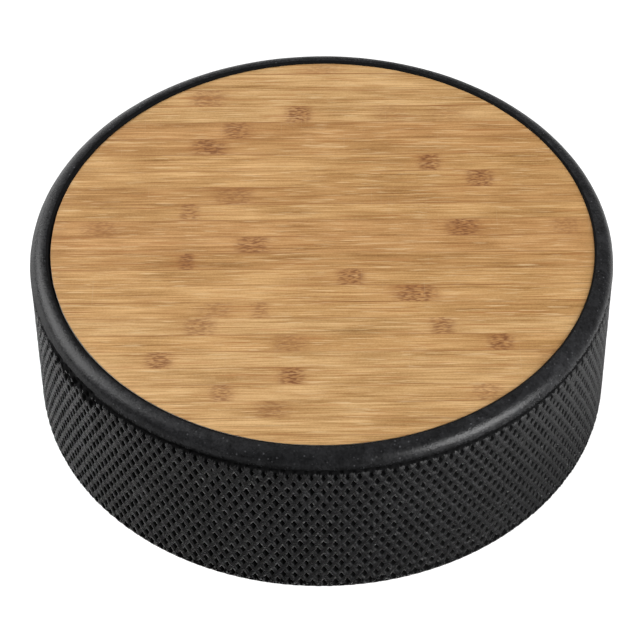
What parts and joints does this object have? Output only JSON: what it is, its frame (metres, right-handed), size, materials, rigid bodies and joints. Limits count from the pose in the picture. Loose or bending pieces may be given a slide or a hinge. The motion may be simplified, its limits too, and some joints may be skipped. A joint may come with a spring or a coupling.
{
  "type": "ice hockey puck",
  "caption": "Round rubber ice hockey puck with a diamond-knurled side, rounded rims and a recessed bamboo-look face; slides on ice or rests flat on either face.",
  "frame": {"origin": "centre of the flat bottom face", "axes": "+Z along the puck's axis, from the bottom face to the printed face; +X along the grain of the printed bamboo"},
  "size_m": [0.0762, 0.0762, 0.0254],
  "materials": {
    "black_rubber": "vulcanised rubber, satin on the rims and matt in the knurling",
    "printed_bamboo": "matt print of laminated bamboo strips on a thin plastic film",
    "adhesive": "soft translucent adhesive"
  },
  "bodies": {
    "root": {"puck_body": "black_rubber", "face_disc": "printed_bamboo", "adhesive_film": "adhesive"}
  },
  "joints": []
}
